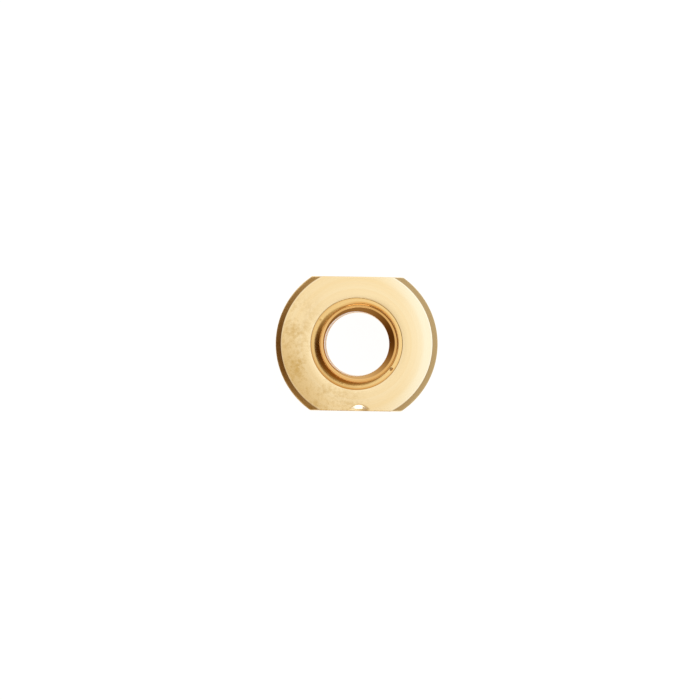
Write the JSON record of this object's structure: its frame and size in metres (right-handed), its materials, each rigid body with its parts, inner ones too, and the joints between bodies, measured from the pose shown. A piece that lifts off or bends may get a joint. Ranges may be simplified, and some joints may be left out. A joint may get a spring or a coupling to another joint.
{
  "type": "t-slot nut",
  "caption": "Turned brass T-slot nut: round chamfered head with parallel milled flats, a short round neck and a tapped through hole countersunk at each mouth.",
  "frame": {"origin": "centre of the neck's end face, on the surface that the nut stands on", "axes": "+Z along the thread's axis, from the neck towards the head's open face; +X along the flats, which is the way the slot runs; +Y out of one flat"},
  "size_m": [0.0126, 0.0104, 0.0072],
  "materials": {
    "brass": "turned and milled, bare, lightly tarnished"
  },
  "bodies": {
    "root": {"t_slot_nut": "brass"}
  },
  "joints": []
}
